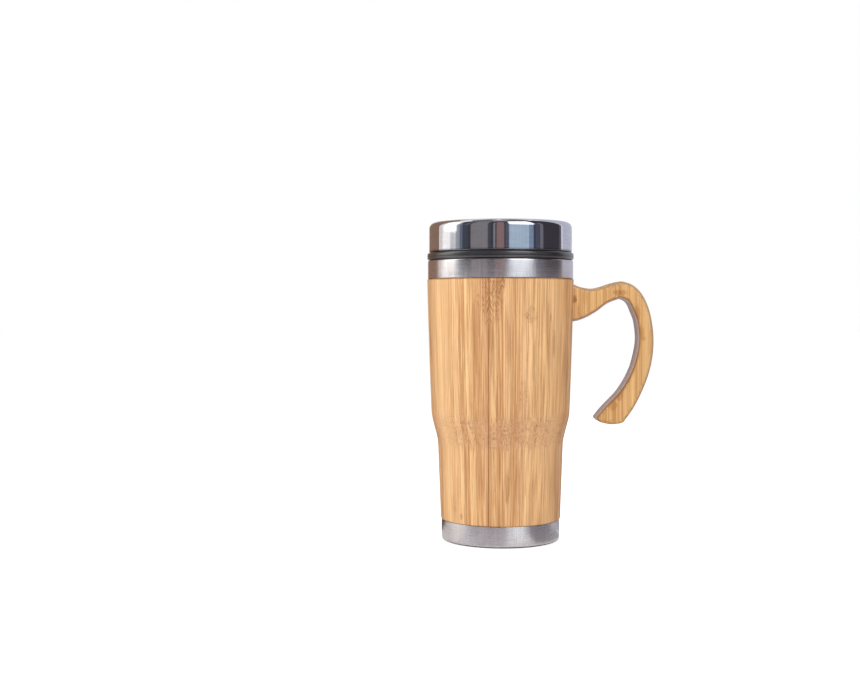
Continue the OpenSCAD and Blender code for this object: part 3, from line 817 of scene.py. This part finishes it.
class MUG_OT_sleeve(bpy.types.Operator):
    """Turns the bamboo sleeve"""

    bl_idname = "mug.sleeve"
    bl_label = "Bamboo sleeve"
    bl_options = {"REGISTER", "UNDO"}

    def execute(self, context):
        edge, rise = 0.5, 1.0
        foot_spigot_r, spigot_z = BASE_R - 0.7, BASE_Z + 1.3
        top_spigot_r, top_z = COLLAR_R - 0.8, RIM_Z - 1.4
        bore_neck_r = MOUTH_R + 0.7
        side = [(sleeve_r(FOOT_Z + edge), FOOT_Z + edge)]
        z = FOOT_Z + edge + rise
        while z < SLEEVE_TOP_Z - edge - rise / 2:
            side.append((sleeve_r(z), z))
            z += rise
        side.append((sleeve_r(SLEEVE_TOP_Z - edge), SLEEVE_TOP_Z - edge))
        foot = rounded([(FOOT_R - 3, FOOT_Z, 0), (FOOT_R, FOOT_Z, edge), (FOOT_R, FOOT_Z + 3, 0)])[1:-1]
        top = rounded([(SLEEVE_TOP_R, SLEEVE_TOP_Z - 3, 0), (SLEEVE_TOP_R, SLEEVE_TOP_Z, edge),
                       (SLEEVE_TOP_R - 3, SLEEVE_TOP_Z, 0)])[1:-1]
        outline = ([(BORE_FOOT_R, spigot_z), (foot_spigot_r - 1.2, spigot_z), (foot_spigot_r, spigot_z + 1.5),
                    (foot_spigot_r, FOOT_Z)] + foot + side[1:-1] + top
                   + [(top_spigot_r, SLEEVE_TOP_Z), (top_spigot_r, top_z - 0.75),
                      (top_spigot_r - 0.75, top_z), (bore_neck_r, top_z), (bore_neck_r, NECK_Z),
                      (BORE_FOOT_R, FLOOR_Z)])
        finished(turned("sleeve_turned", outline), material("bamboo"), "cup", ["bamboo_sleeve"])
        return {"FINISHED"}


class MUG_OT_collar(bpy.types.Operator):
    """Turns the brushed steel collar round the rim"""

    bl_idname = "mug.collar"
    bl_label = "Rim collar"
    bl_options = {"REGISTER", "UNDO"}

    def execute(self, context):
        t, edge = 0.7, 0.9
        outline = rounded([
            (COLLAR_R - t, COLLAR_Z, 0.12), (COLLAR_R, COLLAR_Z, 0.18), (COLLAR_R, RIM_Z, edge),
            (MOUTH_R, RIM_Z, 0.34), (MOUTH_R, RIM_Z - t, 0.34), (COLLAR_R - t, RIM_Z - t, edge - t)])
        finished(turned("collar_turned", outline), material("satin"), "cup", ["rim_collar"])
        return {"FINISHED"}


class MUG_OT_base(bpy.types.Operator):
    """Turns the brushed base cup, and finishes the rubber pad"""

    bl_idname = "mug.base"
    bl_label = "Base cup and pad"
    bl_options = {"REGISTER", "UNDO"}

    def execute(self, context):
        t, corner = 0.6, 1.6
        pad_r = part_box("base_pad")[1].y / MM
        recess_r, recess_z = pad_r + 0.3, BASE_Z + 0.6
        top = BASE_TOP_Z
        outline = rounded([
            (0, recess_z, 0), (recess_r, recess_z, 0.3), (recess_r + 0.8, BASE_Z, 0.4),
            (BASE_R, BASE_Z, corner), (BASE_R, top, 0.15), (BASE_R - t, top, 0.15),
            (BASE_R - t, BASE_Z + t, corner - t), (recess_r + 0.8, BASE_Z + t, 0.3),
            (recess_r, recess_z + t, 0.3), (0, recess_z + t, 0)])
        finished(turned("base_turned", outline), material("base"), "cup", ["base_cup"])
        refinish("base_pad", material("rubber"))
        return {"FINISHED"}


class MUG_OT_handle(bpy.types.Operator):
    """Shapes the bamboo handle and fits it to the sleeve"""

    bl_idname = "mug.handle"
    bl_label = "Handle"
    bl_options = {"REGISTER", "UNDO"}

    RING_STEPS = 9
    EDGE_STEPS = 7
    TAIL_STEPS = 10
    TAIL_TURN = 86.0
    # Where the inner edges are rubbed most, and over what length, as shares of the handle's length
    RUBBED = (0.46, 0.07), (0.76, 0.08)

    def execute(self, context):
        rings = self.rings()
        count, last = len(rings[0]), len(rings) - 1
        self.fit(rings)
        points = [p for ring in rings for p in ring]
        faces = [(j * count + i, j * count + (i + 1) % count, (j + 1) * count + (i + 1) % count,
                  (j + 1) * count + i) for j in range(last) for i in range(count)]
        faces += [tuple(reversed(range(count))), tuple(range(last * count, (last + 1) * count))]
        piece = new_mesh("handle_shaped", points, faces, crease=math.radians(50))
        places = [(j / last, i) for j in range(last + 1) for i in range(count)]
        write_values(piece, rub=[self.rub(t, i, count) for t, i in places],
                     side=[self.side(i) for _, i in places],
                     inner=[float(self.inside(i, count)) for _, i in places])
        finished(piece, material("board"), "cup", ["handle"])
        return {"FINISHED"}

    def ring(self, centre, turn, u, v, r):
        """A rectangle of half width u and half thickness v with round corners, across the handle."""
        ax, az = math.cos(math.radians(turn)), math.sin(math.radians(turn))
        out = []
        for q in range(4):
            for i in range(self.EDGE_STEPS + 1):
                a = math.radians(90 * (q + i / self.EDGE_STEPS))
                p = (1 if q in (0, 3) else -1) * (u - r) + r * math.cos(a)
                y = (1 if q < 2 else -1) * (v - r) + r * math.sin(a)
                out.append((centre[0] + p * ax, y, centre[1] + p * az))
        return out

    def rings(self):
        x0, z0 = sleeve_r(HANDLE_TOP_Z - ROOT_W / 2), HANDLE_TOP_Z - HANDLE_H
        half = HANDLE_T / 2
        rings = []
        for x, z, turn, width in spline(HANDLE_SHARES, self.RING_STEPS):
            a = math.radians(turn)
            middle = (x0 + HANDLE_REACH * x + math.cos(a) * width / 2,
                      z0 + HANDLE_H * z + math.sin(a) * width / 2)
            rings.append(self.ring(middle, turn, width / 2, half, HANDLE_EDGE_R))
        for k in range(1, self.TAIL_STEPS + 1):
            t = math.radians(self.TAIL_TURN * k / self.TAIL_STEPS)
            u = width / 2 * math.cos(t)
            out = TAIL_BULGE * math.sin(t)
            rings.append(self.ring((middle[0] - math.sin(a) * out, middle[1] + math.cos(a) * out), turn, u,
                                   half - HANDLE_EDGE_R * (1 - math.cos(t)), min(HANDLE_EDGE_R, u * 0.95)))
        return rings

    def fit(self, rings):
        """Moves the points inside the sleeve out along the handle to the sleeve's surface."""
        gap, halvings = 0.02, 30

        def outside(p):
            return math.hypot(p[0], p[1]) - sleeve_r(p[2]) - gap

        for i in range(len(rings[0])):
            first = next(j for j, ring in enumerate(rings) if outside(ring[i]) > 0)
            low, high = rings[first - 1][i], rings[first][i]
            for _ in range(halvings):
                middle = tuple((a + b) / 2 for a, b in zip(low, high))
                if outside(middle) > 0:
                    high = middle
                else:
                    low = middle
            # The points before the surface share the first span, so that no face folds.
            target = rings[first][i]
            for j in range(first):
                rings[j][i] = tuple(mix(a, b, j / first) for a, b in zip(high, target))

    def side(self, i):
        """0 on the front and back of the board, 1 on its inner and outer sides."""
        q, k = divmod(i, self.EDGE_STEPS + 1)
        return abs(math.cos(math.radians(90 * (q + k / self.EDGE_STEPS))))

    def inside(self, i, count):
        """Whether a point is on the board's inner half, towards the sleeve."""
        return not count // 4 <= i < 3 * count // 4

    def rub(self, t, i, count):
        """How much a point is rubbed dark, beside the two inner edges."""
        quarter = count // 4
        edge = math.sin(math.pi * (i % quarter + 0.5) / quarter) ** 2
        amount = sum((math.exp(-((t - middle) / width) ** 2) for middle, width in self.RUBBED), 0.35)
        return edge * min(1.0, amount) if self.inside(i, count) else 0.0


class MUG_OT_screws(bpy.types.Operator):
    """Makes the two wood screws, with their threads and cross recesses"""

    bl_idname = "mug.screws"
    bl_label = "Handle screws"
    bl_options = {"REGISTER", "UNDO"}

    HEAD_R, HEAD_RIM, HEAD_H = 3.2, 0.3, 1.9
    CORE_R, THREAD_R, LENGTH, TIP = 1.2, 1.75, 14.0, 3.0
    PITCH = 1.6
    PLACE_SHARES = 0.326, 0.717

    def execute(self, context):
        for number, place in enumerate(self.PLACE_SHARES):
            z = HANDLE_TOP_Z - ROOT_W + ROOT_W * place
            bore = mix(BORE_FOOT_R, MOUTH_R + 0.7, (z - FLOOR_Z) / (NECK_Z - FLOOR_Z))
            turn = Matrix.Translation(Vector((bore + 0.2, 0, z)) * MM) @ Matrix.Rotation(math.pi / 2, 4, "Y")
            body = self.body(f"handle_screw_{number + 1}")
            body.data.transform(turn)
            finished(body, material("screw"), "cup", ["handle_screws"])
            rib = self.rib(f"handle_screw_rib_{number + 1}")
            rib.data.transform(turn)
            finished(rib, material("screw"), "cup")
        return {"FINISHED"}

    def body(self, name):
        """Shank, and a head with a star of eight sides sunk in it as the cross recess."""
        arm, slot, depth, steps, drawn_in = 1.7, 0.42, 1.3, 48, 0.45
        around = [2 * math.pi * k / steps for k in range(steps)]

        def cross(a):
            c, s = abs(math.cos(a)), abs(math.sin(a))
            return min(arm, slot / max(min(c, s), slot / arm))

        rows = [([cross(a) * drawn_in for a in around], depth), ([cross(a) for a in around], 0)]
        rows += [([r] * steps, z) for r, z in (
            (self.HEAD_R, 0), (self.HEAD_R, self.HEAD_RIM), (self.CORE_R, self.HEAD_H),
            (self.CORE_R, self.LENGTH - self.TIP), (0.12, self.LENGTH))]
        points = [(r * math.cos(a), r * math.sin(a), z) for radii, z in rows for r, a in zip(radii, around)]
        last = (len(rows) - 1) * steps
        faces = [(j + (k + 1) % steps, j + k, j + steps + k, j + steps + (k + 1) % steps)
                 for j in range(0, last, steps) for k in range(steps)]
        faces += [tuple(reversed(range(steps))), tuple(range(last, last + steps))]
        return new_mesh(name, points, faces)

    def rib(self, name):
        steps, runout, sunk = 20, 1.2, 0.08
        rings = []
        for k in range(int((self.LENGTH - self.HEAD_H - runout) / self.PITCH * steps) + 1):
            z = self.HEAD_H + 0.8 + self.PITCH * k / steps
            core = self.CORE_R if z < self.LENGTH - self.TIP else mix(
                self.CORE_R, 0.2, (z - self.LENGTH + self.TIP) / self.TIP)
            crest = core + (self.THREAD_R - self.CORE_R) * min(1.0, k / steps)
            rings.append((2 * math.pi * k / steps, core - sunk, crest, z))
        return helix(name, rings, 0.36, 0.05)


def helix(name, rings, half_base, half_crest):
    """A rib along a helix from rows of (angle, root radius, crest radius, height)."""
    points = []
    for angle, root, crest, z in rings:
        c, s = math.cos(angle), math.sin(angle)
        points += [(root * c, root * s, z - half_base), (crest * c, crest * s, z - half_crest),
                   (crest * c, crest * s, z + half_crest), (root * c, root * s, z + half_base)]
    last = len(points) - 4
    faces = [(j + i, j + 4 + i, j + 4 + (i + 1) % 4, j + (i + 1) % 4)
             for j in range(0, last, 4) for i in range(4)]
    faces += [(0, 1, 2, 3), (last + 3, last + 2, last + 1, last)]
    # A rib that stands inwards has its faces the other way round.
    if rings[0][2] <= rings[0][1]:
        faces = [tuple(reversed(face)) for face in faces]
    return new_mesh(name, points, faces, crease=math.radians(25))


def screw_thread(name, root_r, crest_r, z0, angle0, sweep, lead):
    """One start of the lid's thread, which fades in and out at its ends."""
    steps, first = 90, 0.12
    rings = []
    for k in range(steps + 1):
        t = k / steps
        grow = mix(first, 1.0, math.sin(math.pi / 2 * min(1.0, 10 * t, 10 * (1 - t))))
        a = math.radians(angle0 + sweep * t)
        rings.append((a, root_r, mix(root_r, crest_r, grow), z0 + lead * sweep * t / 360))
    return helix(name, rings, 0.95, 0.42)


class MUG_OT_threads(bpy.types.Operator):
    """Adds the lid's two thread ribs and the neck's two, which run between them"""

    bl_idname = "mug.threads"
    bl_label = "Screw threads"
    bl_options = {"REGISTER", "UNDO"}

    def execute(self, context):
        size = sizes()
        lead, tall = size.thread_lead / MM, size.thread_height / MM
        plug_r, low = MOUTH_R - 1.6, PLUG_Z + 2.2
        for start in range(2):
            rib = screw_thread(f"lid_thread_{start + 1}", plug_r - 0.1, plug_r + tall, low, 180 * start, 200,
                               lead)
            finished(rib, material("plastic"), "lid")
            rib = screw_thread(f"neck_thread_{start + 1}", MOUTH_R + 0.1, MOUTH_R - tall, low + lead / 4,
                               180 * start, 190, lead)
            finished(rib, material("liner"), "cup")
        return {"FINISHED"}


class MUG_OT_liner(bpy.types.Operator):
    """Turns the steel liner"""

    bl_idname = "mug.liner"
    bl_label = "Liner"
    bl_options = {"REGISTER", "UNDO"}

    def execute(self, context):
        t, corner = 0.6, 7.0
        foot_r, top = BORE_FOOT_R - 0.1 - t, RIM_Z - 0.7
        lip_r = MOUTH_R + 3.0
        outline = rounded([
            (0, FLOOR_Z - t, 0), (foot_r + t - 0.35, FLOOR_Z - t, corner + t), (MOUTH_R + t, NECK_Z, 4.0),
            (MOUTH_R + t, top - t, 0), (lip_r, top - t, 0.2), (lip_r, top, 0.2), (MOUTH_R, top, 0),
            (MOUTH_R, NECK_Z, 4.0), (foot_r - 0.35, FLOOR_Z, corner), (0, FLOOR_Z, 0)])
        finished(turned("liner_drawn", outline), material("liner"), "cup", ["liner"])
        return {"FINISHED"}


class MUG_OT_cap(bpy.types.Operator):
    """Turns the polished steel cap of the lid"""

    bl_idname = "mug.cap"
    bl_label = "Polished cap"
    bl_options = {"REGISTER", "UNDO"}

    def execute(self, context):
        t, corner, bend, lip, hem = 0.5, 3.4, 1.0, 2.6, 1.5
        deck_r = CAP_R - 9.2
        top = LID_TOP_Z
        outline = rounded([
            (CAP_R - hem, CAP_Z, 0), (CAP_R, CAP_Z, hem), (CAP_R, top, corner), (deck_r, top, bend),
            (deck_r, top - lip, 0.15), (deck_r + t, top - lip, 0.1), (deck_r + t, top - t, bend - t),
            (CAP_R - t, top - t, corner - t), (CAP_R - t, CAP_Z + t, hem - t), (CAP_R - hem, CAP_Z + t, 0)])
        finished(turned("cap_spun", outline), material("polished"), "lid", ["lid_cap"])
        return {"FINISHED"}


class MUG_OT_lid(bpy.types.Operator):
    """Finishes the black mouldings of the lid and its seals"""

    bl_idname = "mug.lid"
    bl_label = "Lid mouldings"
    bl_options = {"REGISTER", "UNDO"}

    def execute(self, context):
        for node, finish in (("lid_base", "plastic"), ("lid_deck", "deck"), ("shutter", "deck"),
                             ("shutter_clip", "deck"), ("shutter_seal", "silicone"),
                             ("lid_seal", "silicone")):
            refinish(node, material(finish))
        return {"FINISHED"}


# Stage

# Cards that only shiny surfaces see, on a dome round the mug: name, distance, degrees from the front, width,
# lowest and highest elevation, softness of the sides in degrees, colour, and strength where it isn't 1
CARDS = (
    ("dark_front", 1.62, 14.5, 195, -6, 66, 4, (66, 62, 68)),
    ("brown_left", 1.60, -142, 54, -6, 58, 4, (150, 120, 102)),
    ("window_left", 1.56, -97, 42, -6, 48, 3, (255, 250, 246), 1.25),
    ("frame_left", 1.55, -112, 12, -6, 40, 4, (238, 226, 218)),
    ("curtain_left", 1.545, -84, 16, -6, 34, 5, (222, 220, 220)),
    ("fold_left", 1.54, -73.5, 12, -6, 34, 3, (164, 168, 176)),
    ("blue_left", 1.53, -62, 18, -6, 16, 3, (74, 78, 88)),
    ("blue_pale", 1.525, -67, 7, -6, 30, 3, (112, 120, 132)),
    ("blue_left_high", 1.53, -58, 14, 16, 52, 5, (96, 104, 118)),
    ("sky_left", 1.52, -90, 32, 12, 46, 6, (255, 252, 248), 2.2),
    ("wall_left", 1.51, -36.5, 31, -6, 58, 3, (138, 133, 136)),
    ("gap", 1.515, -19.5, 8, -6, 58, 3, (78, 78, 86)),
    ("post", 1.505, -12.5, 5, -6, 40, 2, (138, 140, 148)),
    ("red", 1.51, -3, 15, -6, 50, 3, (148, 120, 118)),
    ("post_middle", 1.505, 7, 6, -6, 40, 2, (92, 98, 112)),
    ("window", 1.50, 27, 36, -6, 26, 3, (184, 201, 218)),
    ("window_shade", 1.495, 47, 10, -6, 26, 3, (136, 154, 178)),
    ("window_sky", 1.49, 32, 46, 20, 56, 6, (255, 255, 255), 3.0),
    ("blind", 1.505, 57, 10, -6, 40, 3, (82, 86, 102)),
    ("post_right", 1.50, 65, 9, -6, 40, 3, (124, 120, 128)),
    ("post_far", 1.505, 107, 9, -6, 40, 4, (106, 96, 106)),
    ("wall_right", 1.50, 149, 76, -6, 60, 4, (200, 200, 214)),
    ("back", 1.60, -178, 14, -6, 40, 4, (120, 116, 116)),
    ("lamp_off", 1.63, 0, 358, 68, 84, 4, (112, 108, 106)),
)
# Cards that lie on the floor: name, nearest and farthest distance, and the rest as above
FLOOR_CARDS = (
    ("floor_left", 0.30, 1.45, -24, 66, 8, (190, 186, 190)),
    ("foot_left", 0.036, 0.30, -24, 70, 8, (214, 208, 212)),
    ("floor_right", 0.30, 1.45, 77, 52, 8, (170, 166, 172)),
    ("foot_right", 0.036, 0.30, 68, 68, 8, (162, 158, 164)),
    ("floor_brown", 0.30, 1.45, -143, 56, 8, (150, 126, 112)),
    ("foot_brown", 0.036, 0.30, -142, 60, 8, (94, 84, 80)),
    ("foot_wall", 0.036, 0.45, 144, 84, 12, (166, 166, 180)),
    ("foot_bright", 0.036, 0.28, 25, 26, 8, (255, 255, 255)),
    ("floor_bright", 0.28, 0.80, 30, 28, 6, (255, 255, 255), 1.6),
)
# Lamps: name, place and size, in metres
LAMPS = (("key", (-0.20, -1.15, 0.40), 0.7), ("fill", (1.00, -0.60, 0.35), 0.6),
         ("side", (-1.05, -0.22, 0.25), 0.5), ("top", (0.0, -0.1, 1.3), 1.0))
LAMPS_AIM = 0, 0, 0.09


class MUG_OT_stage(bpy.types.Operator):
    """Sets up the camera, the soft lamps, the white floor and the cards that the steel reflects"""

    bl_idname = "mug.stage"
    bl_label = "Stage"
    bl_options = {"REGISTER", "UNDO"}

    def execute(self, context):
        scene, settings = context.scene, context.scene.mug_stage
        scene.view_settings.view_transform = "Standard"
        scene.camera = self.camera(settings)
        self.lamps(settings)
        scene.world = self.world(settings)
        self.floor()
        self.cards()
        return {"FINISHED"}

    def camera(self, settings):
        data = bpy.data.cameras.new("camera")
        data.lens = settings.lens
        data.sensor_width = 36
        data.shift_y = settings.shift
        camera = new_object("camera", data)
        camera.location = settings.camera
        camera.rotation_euler = math.pi / 2, 0, 0
        return camera

    def lamps(self, settings):
        for name, place, size in LAMPS:
            lamp = bpy.data.lights.new(name, "AREA")
            lamp.shape = "DISK"
            lamp.size = size
            lamp.energy = getattr(settings, name)
            thing = new_object(name, lamp)
            thing.location = place
            thing.rotation_mode = "QUATERNION"
            thing.rotation_quaternion = (Vector(LAMPS_AIM) - Vector(place)).to_track_quat("-Z", "Y")
            thing.visible_glossy = False

    def world(self, settings):
        """White where the camera or a shiny surface sees it, and weaker as a light."""
        world = bpy.data.worlds.new("studio")
        world.use_nodes = True
        s = Shader(world.node_tree)
        path = s.outputs(s.node("ShaderNodeLightPath"))
        seen = path["Is Camera Ray"].larger(path["Is Glossy Ray"].larger(path["Is Transmission Ray"]))
        background = world.node_tree.nodes["Background"]
        s.feed(background, "Color", WHITE)
        s.feed(background, "Strength", seen * (1.0 - settings.world) + settings.world)
        return world

    def floor(self):
        """A white floor, which glows for the camera so that only the mug's shadow shows on it."""
        half, glow, mirrored_share = 6000, 0.76, 0.15
        floor = new_mesh("floor", [(-half, -half, 0), (half, -half, 0), (half, half, 0), (-half, half, 0)],
                         [(0, 1, 2, 3)])
        stuff = bpy.data.materials.new("Floor")
        stuff.use_nodes = True
        s = Shader(stuff.node_tree)
        path = s.outputs(s.node("ShaderNodeLightPath"))
        mirrored = path["Is Glossy Ray"].larger(path["Is Transmission Ray"])
        seen = path["Is Camera Ray"].larger(mirrored * mirrored_share)
        s.surface(Base_Color=(0.86, 0.86, 0.86), Roughness=1.0, Specular_IOR_Level=0.0, Emission_Color=WHITE,
                  Emission_Strength=seen * glow)
        floor.data.materials.append(stuff)

    def cards(self):
        steps, floor_gap = 6, 0.0003
        for name, far, middle, width, low, high, *looks in CARDS:
            rises = [math.radians(mix(low, high, j / steps)) for j in range(steps + 1)]
            self.card(name, [(far * math.cos(e), far * math.sin(e)) for e in rises], middle, width, *looks)
        for number, (name, near, far, middle, width, *looks) in enumerate(FLOOR_CARDS):
            rise = floor_gap * (number + 1)
            self.card(name, [(near, rise), (far, rise)], middle, width, *looks)

    def card(self, name, rows, middle, width, soft, rgb, strength=1.0):
        """A patch of a turned surface with rows of (radius, height) in metres."""
        name, steps, count = f"card_{name}", 24, len(rows)
        points = []
        for i in range(steps + 1):
            a = math.radians(FRONT + middle + width * (i / steps - 0.5))
            points += [(r / MM * math.cos(a), r / MM * math.sin(a), z / MM) for r, z in rows]
        faces = [(k, k + 1, k + count + 1, k + count)
                 for i in range(steps) for k in range(i * count, i * count + count - 1)]
        card = new_mesh(name, points, faces)
        turn = [width * (k // count / steps - 0.5) for k in range(len(points))]
        write_values(card, side=[width / 2 - abs(t) for t in turn], turn=[middle + t for t in turn],
                     rise=[math.degrees(math.atan2(z, r)) for r, z in rows] * (steps + 1))
        card.data.materials.append(self.glow(name, soft, rgb, strength))
        card.visible_camera = card.visible_diffuse = card.visible_shadow = False
        card.visible_transmission = False

    def glow(self, name, soft, rgb, strength):
        """Light of one colour in faint streaks, which fades out at the card's sides."""
        stuff = bpy.data.materials.new(name)
        stuff.use_nodes = True
        s = Shader(stuff.node_tree)
        side, turn, rise = s.attribute("side"), s.attribute("turn"), s.attribute("rise")
        streaks = s.noise(s.join(turn / 1.3, 0.0, 0.0), 3.0, 0.65).span(0.30, 0.64, 0.84, 1.10)
        lines = s.noise(s.join(turn / 30.0, rise / 0.30, 4.0), 2.0).span(0.34, 0.66, 0.88, 1.08)
        light = s.value("ShaderNodeEmission", Color=colour(*rgb), Strength=lines * (streaks * strength))
        clear = s.value("ShaderNodeBsdfTransparent")
        s.feed(stuff.node_tree.nodes["Material Output"], "Surface",
               s.value("ShaderNodeMixShader", side.span(0.0, soft), clear, light))
        return stuff


class MUG_PT_panel(bpy.types.Panel):
    """Lists the mug's pieces, sizes and colours"""

    bl_idname = "MUG_PT_panel"
    bl_label = "Bamboo mug"
    bl_space_type = "VIEW_3D"
    bl_region_type = "UI"
    bl_category = "Mug"

    def draw(self, context):
        column = self.layout.column(align=True)
        for operator in OPERATORS:
            column.operator(operator.bl_idname, text=operator.bl_label)
        for name, group in SETTINGS:
            box = self.layout.box()
            for key in group.__annotations__:
                box.prop(getattr(context.scene, name), key)


OPERATORS = (MUG_OT_stage, MUG_OT_sleeve, MUG_OT_collar, MUG_OT_base, MUG_OT_handle, MUG_OT_screws,
             MUG_OT_liner, MUG_OT_threads, MUG_OT_cap, MUG_OT_lid)
CLASSES = tuple(group for _, group in SETTINGS) + OPERATORS + (MUG_PT_panel,)


def register():
    for cls in CLASSES:
        bpy.utils.register_class(cls)
    for name, group in SETTINGS:
        setattr(bpy.types.Scene, name, PointerProperty(type=group))


def unregister():
    for name, _ in SETTINGS:
        delattr(bpy.types.Scene, name)
    for cls in reversed(CLASSES):
        bpy.utils.unregister_class(cls)


def main():
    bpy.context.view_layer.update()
    register()
    bpy.ops.mug.stage()
    bpy.ops.mug.sleeve()
    bpy.ops.mug.collar()
    bpy.ops.mug.base()
    bpy.ops.mug.handle()
    bpy.ops.mug.screws()
    bpy.ops.mug.liner()
    bpy.ops.mug.threads()
    bpy.ops.mug.cap()
    bpy.ops.mug.lid()


if __name__ == "__main__":
    main()
